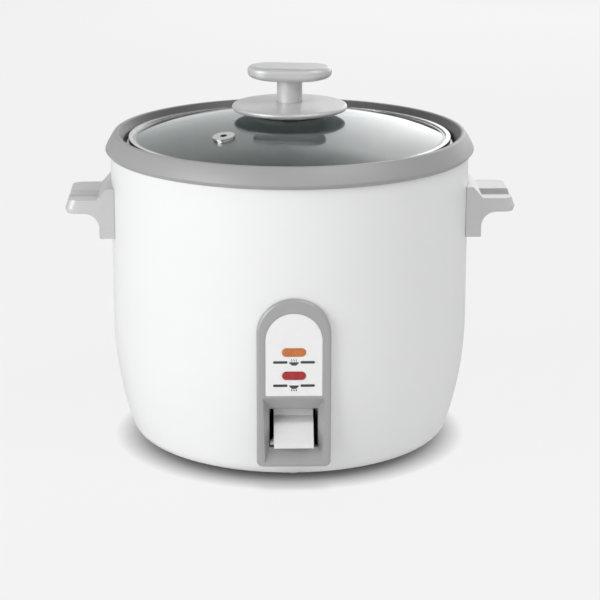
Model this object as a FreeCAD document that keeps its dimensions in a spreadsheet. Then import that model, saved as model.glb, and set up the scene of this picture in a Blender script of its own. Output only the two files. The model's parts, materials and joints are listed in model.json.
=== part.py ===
"""Rice cooker with a lever switch, a glass lid and a lift-out pan, in millimetres.

The frame has +Z up and the front panel facing -Y. The origin is on the cooker's axis, on the floor.
"""
import FreeCAD, Part
import math
import operator
import os
import types
import Sketcher

# Driving dimensions. Heights are above the floor and radii are from the cooker's axis,
# unless the name says otherwise.
SIZES = {
    # Drawn steel body, and the allowances for fits and for cuts that pass right through
    "fit_gap": 0.1,
    "overcut": 5.0,
    "body_radius": 106.5,
    "shell_wall": 1.2,
    "shell_bottom": 4.0,
    "shell_top": 178.0,
    "bottom_flat": 86.5,
    "bottom_opening": 76.0,
    "corner_radius": 10.0,
    "corner_turn": 71.6,
    # Rim collar
    "collar_bottom": 175.9,
    "collar_foot_radius": 107.5,
    "collar_inner": 98.7,
    "collar_inner_height": 183.5,
    "collar_crown": 45.0,
    "belt_radius": 109.7,
    "belt_height": 178.2,
    "belt_round": 0.8,
    "ridge_radius": 103.0,
    "ridge_height": 188.3,
    "ridge_half": 1.4,
    "ridge_drop": 0.6,
    "ridge_round": 2.6,
    # Inner case
    "case_radius": 96.0,
    "case_wall": 0.8,
    "case_bottom": 52.0,
    "case_corner": 8.0,
    "case_opening": 60.0,
    "case_flange": 106.2,
    # Inner pan
    "pan_radius": 92.4,
    "pan_wall": 1.4,
    "pan_bottom": 64.3,
    "pan_corner": 22.0,
    "pan_lip_radius": 97.2,
    "pan_lip_bottom": 180.0,
    "pan_lip_top": 181.4,
    "pan_lip_round": 0.6,
    # Glass lid and its steel band
    "band_radius": 95.6,
    "band_wall": 0.6,
    "band_inner": 93.2,
    "band_bottom": 181.7,
    "dome_radius": 91.0,
    "dome_top": 198.0,
    "glass_thick": 2.4,
    "glass_hole": 3.2,
    "vent_across": -38.75,
    "vent_along": -44.75,
    "vent_hole": 5.0,
    "vent_body": 4.85,
    "vent_bore": 2.0,
    "vent_flange": 6.5,
    "vent_flange_thick": 1.3,
    "vent_clinch": 6.2,
    "vent_clinch_thick": 0.8,
    # Knob
    "gasket_thick": 0.6,
    "gasket_inner": 12.0,
    "gasket_outer": 20.0,
    "boss_radius": 21.0,
    "boss_top": 200.2,
    "flange_radius": 34.2,
    "flange_rim_middle": 202.2,
    "flange_rim_half": 1.7,
    "flange_crown": 205.2,
    "stem_radius": 7.5,
    "stem_recess_radius": 7.8,
    "stem_bottom": 203.7,
    "grip_bottom": 218.4,
    "grip_top": 226.6,
    "grip_half_length": 25.0,
    "grip_half_width": 13.5,
    "grip_round": 2.8,
    "grip_end_rise": 2.0,
    "knob_turn": -7.0,
    "knob_screw_radius": 1.95,
    "knob_screw_top": 215.0,
    "knob_head_radius": 4.5,
    "knob_head_bottom": 191.3,
    "washer_radius": 8.0,
    "washer_bottom": 194.0,
    "washer_top": 195.4,
    # Side handles
    "handle_reach": 133.0,
    "handle_width": 50.0,
    "handle_root": 98.0,
    "handle_plate": 112.8,
    "handle_plate_bottom": 128.0,
    "handle_grip_bottom": 143.2,
    "handle_grip_top": 151.4,
    "handle_shoulder_top": 158.0,
    "handle_shoulder": 108.0,
    "handle_under_round": 9.0,
    "handle_shoulder_foot": 113.8,
    "handle_nose_back": 1.0,
    "handle_nose_rise": 2.5,
    "handle_end_slope": 2.0,
    "handle_groove_front": 15.5,
    "handle_groove_back": 1.0,
    "handle_groove_depth": 3.2,
    "handle_corner": 6.0,
    "handle_screw_apart": 28.0,
    "handle_screw_height": 135.0,
    "handle_screw_tip": 110.3,
    # Front panel
    "panel_half": 21.0,
    "panel_face": 109.0,
    "panel_toe": 107.0,
    "panel_top": 113.8,
    "panel_bottom": 14.2,
    "panel_knee": 56.0,
    "panel_foot_corner": 3.5,
    "panel_round": 1.6,
    "panel_root": 80.0,
    "panel_tongue_half": 16.7,
    "panel_tongue_bottom": 20.0,
    "panel_tongue_top": 56.5,
    "panel_tongue_back": 99.0,
    "label_half": 16.0,
    "label_top": 105.6,
    "label_bottom": 57.4,
    "label_thick": 1.0,
    "label_corner": 1.0,
    "lens_half_length": 6.7,
    "lens_half_height": 2.4,
    "lens_front": 109.5,
    "lens_back": 104.4,
    "lens_round": 0.6,
    "keep_warm_height": 83.1,
    "cooking_height": 69.4,
    "mouth_half": 17.6,
    "mouth_top": 56.2,
    "mouth_bottom": 12.4,
    "opening_half": 13.8,
    "opening_top": 48.0,
    "opening_bottom": 25.0,
    "pocket_floor": 102.9,
    "bezel_screw_across": 18.2,
    "bezel_screw_height": 80.0,
    "bezel_screw_tip": 107.0,
    # Lamps behind the panel
    "lamp_window_half": 9.5,
    "lamp_window_bottom": 63.0,
    "lamp_window_top": 90.0,
    "lamp_radius": 2.0,
    "lamp_half_length": 5.5,
    "lamp_depth": 101.8,
    "board_half": 14.0,
    "board_bottom": 61.0,
    "board_top": 92.0,
    "board_front": 99.8,
    "board_back": 98.4,
    "board_foot": 1.6,
    # Heating plate and element
    "plate_radius": 72.0,
    "plate_bottom": 56.0,
    "plate_top": 64.0,
    "plate_hole": 17.0,
    "plate_round": 1.5,
    "element_circle": 50.0,
    "element_radius": 4.2,
    "element_sweep": 346.2,
    "terminal_radius": 2.2,
    "terminal_bottom": 38.0,
    "leg_circle": 66.0,
    "leg_radius": 4.0,
    "heater_screw_radius": 1.6,
    "heater_screw_tip": 60.0,
    "heater_head_radius": 3.2,
    "heater_head_bottom": 49.8,
    "thermostat_circle": 34.0,
    "thermostat_radius": 8.0,
    "thermostat_bottom": 49.0,
    "fuse_radius": 2.0,
    "fuse_half_length": 7.0,
    # Sensor, magnet and springs
    "sensor_radius": 15.5,
    "sensor_wall": 1.0,
    "sensor_bottom": 46.0,
    "sensor_top": 64.0,
    "guide_inner": 16.6,
    "guide_wall": 1.0,
    "guide_bottom": 34.5,
    "guide_ledge": 1.2,
    "guide_ledge_inner": 12.0,
    "guide_flange": 24.0,
    "ferrite_radius": 11.0,
    "ferrite_bottom": 58.7,
    "magnet_radius": 10.0,
    "magnet_bottom": 47.5,
    "magnet_top": 52.5,
    "carrier_radius": 13.0,
    "carrier_bottom": 45.5,
    "rod_radius": 2.6,
    "rod_flange": 5.5,
    "rod_collar_bottom": 29.5,
    "rod_collar_top": 31.5,
    "rod_foot_bottom": 17.0,
    "rod_foot_top": 19.0,
    "sensor_spring_radius": 15.0,
    "sensor_wire": 0.5,
    "magnet_spring_radius": 12.2,
    "magnet_wire": 0.45,
    "spring_seat_gap": 0.05,
    "spring_pitch": 2.4,
    # Switch lever
    "pivot_back": 48.0,
    "pivot_height": 30.0,
    "pivot_radius": 2.0,
    "pivot_half": 16.0,
    "pivot_clearance": 0.05,
    "barrel_radius": 4.0,
    "barrel_half": 8.0,
    "arm_half": 6.0,
    "arm_thick": 2.0,
    "arm_mitre": 0.8,
    "arm_height": 24.5,
    "arm_end": 7.0,
    "arm_rise_start": 71.0,
    "arm_rise_end": 85.0,
    "arm_front": 92.0,
    "arm_shelf": 38.0,
    "arm_tab_top": 46.0,
    "fork_half": 3.2,
    "fork_root": 5.0,
    "lever_half": 11.3,
    "lever_top": 47.0,
    "lever_top_front": 94.4,
    "lever_root": 41.4,
    "lever_root_front": 95.2,
    "lever_crease": 38.7,
    "lever_crease_front": 101.4,
    "lever_crease_round": 4.0,
    "lever_lip_top": 28.8,
    "lever_lip_top_front": 108.3,
    "lever_lip": 109.3,
    "lever_lip_bottom": 26.2,
    "lever_under_front": 107.2,
    "lever_under_bottom": 26.5,
    "lever_under_back": 99.2,
    "lever_scoop": 18.0,
    # Switch bracket and microswitch
    "ear_inner": 13.0,
    "ear_thick": 1.2,
    "ear_front": 84.0,
    "ear_seat_back": 62.0,
    "ear_nose": 42.0,
    "ear_nose_top": 38.0,
    "ear_nose_bottom": 24.0,
    "ear_foot": 12.0,
    "ear_foot_back": 50.0,
    "ear_foot_front": 70.0,
    "ear_front_bottom": 40.0,
    "bracket_thick": 1.5,
    "switch_inner": 1.5,
    "switch_bottom": 10.5,
    "switch_top": 20.5,
    "switch_front": 70.0,
    "switch_back": 52.0,
    "plunger_across": 4.2,
    "plunger_back": 60.0,
    "plunger_radius": 1.5,
    "plunger_bottom": 17.5,
    "plunger_top": 24.35,
    "plunger_bore_bottom": 14.5,
    "plunger_clearance": 0.08,
    "blade_half": 2.4,
    "blade_thick": 0.6,
    "blade_bottom": 6.5,
    "blade_inset": 3.0,
    # Power inlet
    "inlet_half": 17.0,
    "inlet_bottom": 25.0,
    "inlet_top": 51.0,
    "inlet_corner": 4.0,
    "inlet_face": 107.0,
    "inlet_root": 90.0,
    "inlet_core_half": 13.0,
    "inlet_core_bottom": 28.0,
    "inlet_core_top": 48.0,
    "inlet_core_back": 84.0,
    "inlet_cavity_wall": 3.4,
    "inlet_cavity_floor": 89.0,
    "inlet_pin_across": 6.0,
    "inlet_pin_radius": 1.9,
    "inlet_pin_root": 80.0,
    "inlet_pin_tip": 103.0,
    # Base
    "base_radius": 82.0,
    "base_thick": 1.2,
    "vent_slot_inner": 24.0,
    "vent_slot_outer": 52.0,
    "vent_slot_half": 2.5,
    "foot_circle": 66.0,
    "foot_radius": 9.0,
    "foot_peg_radius": 3.0,
    "foot_peg_top": 6.5,
    "base_screw_circle": 79.5,
    "base_screw_radius": 1.5,
    "base_screw_top": 9.0,
    "base_head_radius": 2.9,
    "base_head_bottom": 1.4,
    # Screws through the sheet metal
    "panel_screw_radius": 2.0,
    "panel_screw_head": 3.4,
    "panel_screw_head_thick": 1.8,
    # Lead wires
    "wire_radius": 1.3,
    "wire_bend": 6.0,
    "wire_floor": 8.5,
    "wire_drop": 65.0,
    "wire_side": 24.0,
    "wire_front": 77.0,
    "wire_middle": 22.0,
}

VENT_SLOTS = 10
FEET = 4
BASE_SCREWS = 4
HEATER_LEGS = 3
FOOT_TURN = 45

# How near a point has to be to count as lying on an edge, and the points tested along each edge
CLOSE = 0.01
EDGE_SAMPLES = 5
# The least volume, in cubic millimetres, that a cut has to remove
SMALLEST_CUT = 0.001
UP = FreeCAD.Vector(0, 0, 1)
OPPOSITE = {"left": "right", "right": "left"}

doc = FreeCAD.newDocument("RiceCooker")
sheet = doc.addObject("Spreadsheet::Sheet", "Sizes")
for row, (alias, number) in enumerate(SIZES.items(), start=1):
    sheet.set(f"A{row}", alias)
    sheet.set(f"B{row}", str(number))
    sheet.setAlias(f"B{row}", alias)
doc.recompute()

NODES = []


class Measure:
    """A size worked out from the sheet: its number, and the formula that ties it to the cells."""

    def __init__(self, number, formula):
        self.number = number
        self.formula = formula

    def __add__(self, other):
        return combined(operator.add, "+", self, other)

    def __radd__(self, other):
        return combined(operator.add, "+", other, self)

    def __sub__(self, other):
        return combined(operator.sub, "-", self, other)

    def __rsub__(self, other):
        return combined(operator.sub, "-", other, self)

    def __mul__(self, other):
        return combined(operator.mul, "*", self, other)

    def __rmul__(self, other):
        return combined(operator.mul, "*", other, self)

    def __truediv__(self, other):
        return combined(operator.truediv, "/", self, other)

    def __neg__(self):
        return -1 * self


def measure(value):
    return value if isinstance(value, Measure) else Measure(float(value), str(value))


def combined(work, sign, first, second):
    first = measure(first)
    second = measure(second)
    return Measure(work(first.number, second.number), f"({first.formula} {sign} {second.formula})")


def sine(degrees):
    angle = measure(degrees)
    return Measure(math.sin(math.radians(angle.number)), f"sin({angle.formula} * 1deg)")


def cosine(degrees):
    angle = measure(degrees)
    return Measure(math.cos(math.radians(angle.number)), f"cos({angle.formula} * 1deg)")


def root(value):
    return Measure(math.sqrt(value.number), f"sqrt({value.formula})")


def size(value):
    return measure(value).number


def bind(item, name, value):
    item.setExpression(name, measure(value).formula)


s = types.SimpleNamespace(**{alias: Measure(number, "Sizes." + alias) for alias, number in SIZES.items()})


def new_body(label, node=True):
    body = doc.addObject("PartDesign::Body", label)
    body.Label = label
    body.AllowCompound = True
    if node:
        NODES.append(body)
    return body


def origin_part(body, role):
    return [part for part in body.Origin.OriginFeatures if part.Role == role][0]


def new_sketch(body, plane, offset=0):
    """A sketch on one of the body's planes. XZ faces the front, so its offset counts towards -Y."""
    sketch = body.newObject("Sketcher::SketchObject", body.Name + "Sketch")
    sketch.AttachmentSupport = [(origin_part(body, plane + "_Plane"), "")]
    sketch.MapMode = "FlatFace"
    bind(sketch, "AttachmentOffset.Base.z", offset)
    return sketch


def fix_point(sketch, edge, end, across, up):
    for kind, axis, expression in (("DistanceX", -2, across), ("DistanceY", -1, up)):
        number = size(expression)
        if number == 0:
            sketch.addConstraint(Sketcher.Constraint("PointOnObject", edge, end, axis))
        else:
            made = sketch.addConstraint(Sketcher.Constraint(kind, -1, 1, edge, end, number))
            bind(sketch, f"Constraints[{made}]", expression)


def arc_between(start, finish, radius, turn):
    """A minor arc from start to finish, with its centre to the left or the right of the way along."""
    chord = finish - start
    half = chord.Length / 2
    left = FreeCAD.Vector(-chord.y, chord.x, 0).normalize()
    side = 1 if turn == "left" else -1
    centre = (start + finish) / 2 + left * side * math.sqrt(max(radius ** 2 - half ** 2, 0))
    first, last = (start, finish) if turn == "left" else (finish, start)
    from_angle = math.atan2(first.y - centre.y, first.x - centre.x)
    to_angle = math.atan2(last.y - centre.y, last.x - centre.x)
    circle = Part.Circle(centre, UP, radius)
    return Part.ArcOfCircle(circle, from_angle, to_angle)


def add_outline(sketch, points):
    """A closed outline. A point is (across, up), reached by a line, or (across, up, radius, turn),
    reached by an arc that turns left or right."""
    places = [FreeCAD.Vector(size(point[0]), size(point[1]), 0) for point in points]
    edges = []
    for index, start in enumerate(places):
        following = (index + 1) % len(points)
        point = points[following]
        if len(point) == 2:
            edge = sketch.addGeometry(Part.LineSegment(start, places[following]), False)
            edges.append((edge, 1, 2))
            continue
        arc = arc_between(start, places[following], size(point[2]), point[3])
        edge = sketch.addGeometry(arc, False)
        edges.append((edge, 1, 2) if point[3] == "left" else (edge, 2, 1))
        made = sketch.addConstraint(Sketcher.Constraint("Radius", edge, size(point[2])))
        bind(sketch, f"Constraints[{made}]", point[2])
    for index, (edge, start_end, finish_end) in enumerate(edges):
        next_edge, next_start, _ = edges[(index + 1) % len(edges)]
        sketch.addConstraint(Sketcher.Constraint("Coincident", edge, finish_end, next_edge, next_start))
        fix_point(sketch, edge, start_end, points[index][0], points[index][1])
    return sketch


def add_circle(sketch, across, up, radius):
    centre = FreeCAD.Vector(size(across), size(up), 0)
    edge = sketch.addGeometry(Part.Circle(centre, UP, size(radius)), False)
    made = sketch.addConstraint(Sketcher.Constraint("Radius", edge, size(radius)))
    bind(sketch, f"Constraints[{made}]", radius)
    fix_point(sketch, edge, 3, across, up)
    return sketch


def backwards(points):
    """The same open line of points, walked from its last point to its first."""
    walked = [points[-1][:2]]
    for index in range(len(points) - 1, 0, -1):
        arriving = points[index]
        place = points[index - 1][:2]
        walked.append(place + (arriving[2], OPPOSITE[arriving[3]]) if len(arriving) == 4 else place)
    return walked


def flipped(points):
    """The outline mirrored across its own vertical axis."""
    return [(-p[0], p[1]) + ((p[2], OPPOSITE[p[3]]) if len(p) == 4 else ()) for p in points]


def box_points(left, right, low, high):
    return [(left, low), (right, low), (right, high), (left, high)]


def pill_points(half, half_height, middle):
    """A long lens shape with round ends, each end two quarter arcs."""
    straight = half - half_height
    low, high = middle - half_height, middle + half_height
    return [
        (-straight, low, half_height, "left"),
        (straight, low),
        (half, middle, half_height, "left"),
        (straight, high, half_height, "left"),
        (-straight, high),
        (-half, middle, half_height, "left"),
    ]


def arch_points(half, top, bottom, corner):
    """An upright plate with a half-round top and rounded lower corners."""
    spring = top - half
    return [
        (-half + corner, bottom, corner, "left"),
        (half - corner, bottom),
        (half, bottom + corner, corner, "left"),
        (half, spring),
        (0, top, half, "left"),
        (-half, spring, half, "left"),
        (-half, bottom + corner),
    ]


def added(body, kind, sketch):
    feature = body.newObject("PartDesign::" + kind, body.Name + kind)
    feature.Profile = sketch
    return feature


def volume_of(body):
    doc.recompute()
    return body.Shape.Volume


def revolve(body, sketch, angle=360):
    feature = added(body, "Revolution", sketch)
    feature.ReferenceAxis = (sketch, ["V_Axis"])
    bind(feature, "Angle", angle)
    return feature


def pad(body, sketch, length, both_ways=False, reverse=False):
    feature = added(body, "Pad", sketch)
    bind(feature, "Length", length)
    feature.SideType = "Symmetric" if both_ways else "One side"
    feature.Reversed = reverse
    return feature


def must_cut(body, before):
    if volume_of(body) >= before - SMALLEST_CUT:
        raise RuntimeError("A cut removed nothing from " + body.Label)


def groove(body, sketch):
    before = volume_of(body)
    feature = added(body, "Groove", sketch)
    feature.ReferenceAxis = (sketch, ["V_Axis"])
    feature.Angle = 360
    must_cut(body, before)
    return feature


def pocket(body, sketch, length=None, both_ways=False, along_normal=False):
    """A cut against the sketch's normal, or along it, right through if no length is given."""
    before = volume_of(body)
    feature = added(body, "Pocket", sketch)
    feature.SideType = "Symmetric" if both_ways else "One side"
    feature.Reversed = along_normal
    if length is None:
        feature.Type = "ThroughAll"
    else:
        feature.Type = "Length"
        bind(feature, "Length", length)
    must_cut(body, before)
    return feature


def polar(body, features, count):
    feature = body.newObject("PartDesign::PolarPattern", body.Name + "Polar")
    feature.Originals = features
    feature.Axis = (origin_part(body, "Z_Axis"), [""])
    feature.Angle = 360
    feature.Occurrences = count
    body.Tip = feature
    return feature


def mirrored(body, features, plane):
    feature = body.newObject("PartDesign::Mirrored", body.Name + "Mirrored")
    feature.Originals = features
    feature.MirrorPlane = (origin_part(body, plane + "_Plane"), [""])
    body.Tip = feature
    return feature


def round_edges(body, chosen, radius):
    """Rounds the edges of the body all of whose points pass the test."""
    doc.recompute()
    tip = body.Tip
    names = []
    for number, edge in enumerate(tip.Shape.Edges, start=1):
        if all(chosen(point) for point in edge.discretize(EDGE_SAMPLES)):
            names.append(f"Edge{number}")
    if not names:
        raise RuntimeError("No edge to round on " + body.Label)
    feature = body.newObject("PartDesign::Fillet", body.Name + "Fillet")
    feature.Base = (tip, names)
    bind(feature, "Radius", radius)
    return feature


def revolved(label, points):
    body = new_body(label)
    revolve(body, add_outline(new_sketch(body, "XZ"), points))
    return body


def disc(label, radius, bottom, top, across=0, along=0):
    body = new_body(label)
    sketch = add_circle(new_sketch(body, "XY", bottom), across, along, radius)
    pad(body, sketch, top - bottom)
    return body


# The body's side is a corner arc and a long arc that turns upright, tangent to each other
TURN_SIN = sine(s.corner_turn)
TURN_COS = cosine(s.corner_turn)
SIDE_ARC = (s.body_radius - s.bottom_flat - s.corner_radius * TURN_SIN) / (1 - TURN_SIN)
UPRIGHT_FROM = s.shell_bottom + s.corner_radius * (1 - TURN_COS) + SIDE_ARC * TURN_COS


def wall_points(gap, top):
    """The body's outer side from its flat bottom to a height, moved outwards by a gap."""
    corner = s.corner_radius + gap
    side = SIDE_ARC + gap
    return [
        (s.bottom_flat, s.shell_bottom - gap),
        (s.bottom_flat + corner * TURN_SIN, s.shell_bottom + s.corner_radius - corner * TURN_COS,
         corner, "left"),
        (s.body_radius + gap, UPRIGHT_FROM, side, "left"),
        (s.body_radius + gap, top),
    ]


def cut_to_body(body):
    """Shapes the back of a piece to the body that it sits on."""
    side = wall_points(s.fit_gap, s.shell_top)
    inside = [(0, s.shell_bottom - s.fit_gap)] + side + [(0, s.shell_top)]
    groove(body, add_outline(new_sketch(body, "XZ"), inside))


def make_outer_body():
    body = new_body("outer_body")
    section = [(s.bottom_opening, s.shell_bottom)] + wall_points(0, s.shell_top)
    section += backwards(wall_points(-s.shell_wall, s.shell_top))
    section += [(s.bottom_opening, s.shell_bottom + s.shell_wall)]
    revolve(body, add_outline(new_sketch(body, "XZ"), section))
    front = new_sketch(body, "XZ")
    tongue = s.panel_tongue_half + s.fit_gap
    add_outline(front, box_points(-tongue, tongue, s.panel_tongue_bottom - s.fit_gap,
                                  s.panel_tongue_top + s.fit_gap))
    add_outline(front, box_points(-s.lamp_window_half, s.lamp_window_half, s.lamp_window_bottom,
                                  s.lamp_window_top))
    for side in (-1, 1):
        add_circle(front, side * s.bezel_screw_across, s.bezel_screw_height, s.panel_screw_radius + s.fit_gap)
    pocket(body, front, along_normal=True)
    back = new_sketch(body, "XZ")
    core = s.inlet_core_half + s.fit_gap
    add_outline(back, box_points(-core, core, s.inlet_core_bottom - s.fit_gap,
                                 s.inlet_core_top + s.fit_gap))
    pocket(body, back)
    sides = new_sketch(body, "YZ")
    for side in (-1, 1):
        add_circle(sides, side * s.handle_screw_apart / 2, s.handle_screw_height,
                   s.panel_screw_radius + s.fit_gap)
    pocket(body, sides, both_ways=True)
    screw = new_sketch(body, "XY", s.shell_bottom)
    add_circle(screw, s.base_screw_circle, 0, s.base_screw_radius + s.fit_gap)
    hole = pocket(body, screw, s.shell_wall * 2, along_normal=True)
    polar(body, [hole], BASE_SCREWS)


def make_rim_collar():
    body = revolved("rim_collar", [
        (s.collar_inner, s.shell_top + s.case_wall),
        (s.body_radius + s.fit_gap, s.shell_top + s.case_wall),
        (s.body_radius + s.fit_gap, s.collar_bottom),
        (s.collar_foot_radius, s.collar_bottom),
        (s.belt_radius, s.belt_height),
        (s.ridge_radius + s.ridge_half, s.ridge_height - s.ridge_drop, s.collar_crown, "left"),
        (s.ridge_radius - s.ridge_half, s.ridge_height - s.ridge_drop, s.ridge_round, "left"),
        (s.collar_inner, s.collar_inner_height),
    ])
    belt = size(s.belt_radius)
    height = size(s.belt_height)
    round_edges(body, lambda p: abs(math.hypot(p.x, p.y) - belt) < CLOSE and abs(p.z - height) < CLOSE,
                s.belt_round)


def make_inner_case():
    outer = [
        (s.case_opening, s.case_bottom),
        (s.case_radius - s.case_corner, s.case_bottom),
        (s.case_radius, s.case_bottom + s.case_corner, s.case_corner, "left"),
        (s.case_radius, s.shell_top),
        (s.case_flange, s.shell_top),
        (s.case_flange, s.shell_top + s.case_wall),
        (s.case_radius - s.case_wall, s.shell_top + s.case_wall),
        (s.case_radius - s.case_wall, s.case_bottom + s.case_corner),
        (s.case_radius - s.case_corner, s.case_bottom + s.case_wall, s.case_corner - s.case_wall, "right"),
        (s.case_opening, s.case_bottom + s.case_wall),
    ]
    body = revolved("inner_case", outer)
    sketch = new_sketch(body, "XY", s.case_bottom)
    add_circle(sketch, 0, s.leg_circle, s.heater_screw_radius + s.fit_gap)
    hole = pocket(body, sketch, s.case_wall * 2, along_normal=True)
    polar(body, [hole], HEATER_LEGS)


def make_inner_pan():
    body = revolved("inner_pan", [
        (0, s.pan_bottom),
        (s.pan_radius - s.pan_corner, s.pan_bottom),
        (s.pan_radius, s.pan_bottom + s.pan_corner, s.pan_corner, "left"),
        (s.pan_radius, s.pan_lip_bottom),
        (s.pan_lip_radius, s.pan_lip_bottom),
        (s.pan_lip_radius, s.pan_lip_top),
        (s.pan_radius - s.pan_wall, s.pan_lip_top),
        (s.pan_radius - s.pan_wall, s.pan_bottom + s.pan_corner),
        (s.pan_radius - s.pan_corner, s.pan_bottom + s.pan_wall, s.pan_corner - s.pan_wall, "right"),
        (0, s.pan_bottom + s.pan_wall),
    ])
    edge = size(s.pan_lip_radius)
    round_edges(body, lambda p: abs(math.hypot(p.x, p.y) - edge) < CLOSE, s.pan_lip_round)


def make_base():
    body = disc("base_plate", s.base_radius, s.shell_bottom - s.base_thick, s.shell_bottom)
    slot = new_sketch(body, "XY", s.shell_bottom)
    add_outline(slot, box_points(s.vent_slot_inner, s.vent_slot_outer, -s.vent_slot_half, s.vent_slot_half))
    slot_cut = pocket(body, slot)
    polar(body, [slot_cut], VENT_SLOTS)
    pegs = new_sketch(body, "XY", s.shell_bottom)
    add_circle(pegs, s.foot_circle * cosine(FOOT_TURN), s.foot_circle * sine(FOOT_TURN), s.foot_peg_radius)
    peg_cut = pocket(body, pegs)
    polar(body, [peg_cut], FEET)
    screws = new_sketch(body, "XY", s.shell_bottom)
    add_circle(screws, s.base_screw_circle, 0, s.base_screw_radius + s.fit_gap)
    screw_cut = pocket(body, screws)
    polar(body, [screw_cut], BASE_SCREWS)

    feet = new_body("rubber_feet")
    pads = new_sketch(feet, "XY")
    add_circle(pads, s.foot_circle * cosine(FOOT_TURN), s.foot_circle * sine(FOOT_TURN), s.foot_radius)
    pad_feature = pad(feet, pads, s.shell_bottom - s.base_thick)
    pegs = new_sketch(feet, "XY", s.shell_bottom - s.base_thick)
    add_circle(pegs, s.foot_circle * cosine(FOOT_TURN), s.foot_circle * sine(FOOT_TURN), s.foot_peg_radius)
    peg_feature = pad(feet, pegs, s.foot_peg_top - s.shell_bottom + s.base_thick)
    polar(feet, [pad_feature, peg_feature], FEET)

    bolts = new_body("base_screws")
    heads = new_sketch(bolts, "XY", s.base_head_bottom)
    add_circle(heads, s.base_screw_circle, 0, s.base_head_radius)
    head = pad(bolts, heads, s.shell_bottom - s.base_thick - s.base_head_bottom)
    shanks = new_sketch(bolts, "XY", s.shell_bottom - s.base_thick)
    add_circle(shanks, s.base_screw_circle, 0, s.base_screw_radius)
    shank = pad(bolts, shanks, s.base_screw_top - s.shell_bottom + s.base_thick)
    polar(bolts, [head, shank], BASE_SCREWS)


def make_handle(label, side):
    """A grip with a grooved top on a plate that follows the body's side."""
    body = new_body(label)
    turned = flipped if side < 0 else list
    section = [
        (s.handle_root, s.handle_plate_bottom),
        (s.handle_plate, s.handle_plate_bottom),
        (s.handle_plate, s.handle_grip_bottom - s.handle_under_round),
        (s.handle_plate + s.handle_under_round, s.handle_grip_bottom, s.handle_under_round, "right"),
        (s.handle_reach - s.handle_nose_back, s.handle_grip_bottom),
        (s.handle_reach, s.handle_grip_bottom + s.handle_nose_rise),
        (s.handle_reach - s.handle_end_slope, s.handle_grip_top),
        (s.handle_shoulder_foot, s.handle_grip_top),
        (s.handle_shoulder, s.handle_shoulder_top),
        (s.handle_root, s.handle_shoulder_top),
    ]
    pad(body, add_outline(new_sketch(body, "XZ"), turned(section)), s.handle_width, both_ways=True)
    pocket(body, add_circle(new_sketch(body, "XY"), 0, 0, s.body_radius + s.fit_gap), along_normal=True)
    tip = size(s.handle_reach - s.handle_end_slope) - CLOSE
    half = size(s.handle_width / 2)

    def outer_corner(point):
        return abs(point.x) > tip and abs(abs(point.y) - half) < CLOSE

    round_edges(body, outer_corner, s.handle_corner)
    groove_box = box_points(s.handle_shoulder_foot, s.handle_reach + s.overcut, -s.handle_groove_front,
                            s.handle_groove_back)
    sketch = add_outline(new_sketch(body, "XY", s.handle_grip_top), turned(groove_box))
    pocket(body, sketch, s.handle_groove_depth)
    holes = new_sketch(body, "YZ")
    for end in (-1, 1):
        add_circle(holes, end * s.handle_screw_apart / 2, s.handle_screw_height, s.panel_screw_radius)
    pocket(body, holes, s.handle_screw_tip + s.fit_gap, along_normal=side > 0)


def screw_seat(across):
    """How far out a screw's head can go against the body's inner face, at a distance from its middle."""
    inner = s.body_radius - s.shell_wall
    edge = across + s.panel_screw_head
    return root(inner * inner - edge * edge)


def screw_pair(body, plane, across, height, tip):
    """Two screws with their heads inside the body, one on each side of the sketch's upright axis."""
    seat = screw_seat(across)
    head_back = seat - s.panel_screw_head_thick
    made = []
    for radius, start, finish in ((s.panel_screw_head, head_back, seat), (s.panel_screw_radius, seat, tip)):
        sketch = new_sketch(body, plane, start)
        for side in (-1, 1):
            add_circle(sketch, side * across, height, radius)
        made.append(pad(body, sketch, finish - start))
    return made


def make_handle_screws():
    body = new_body("handle_screws")
    pair = screw_pair(body, "YZ", s.handle_screw_apart / 2, s.handle_screw_height, s.handle_screw_tip)
    mirrored(body, pair, "YZ")


def lens_hole(height):
    return pill_points(s.lens_half_length + s.fit_gap, s.lens_half_height + s.fit_gap, height)


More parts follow.
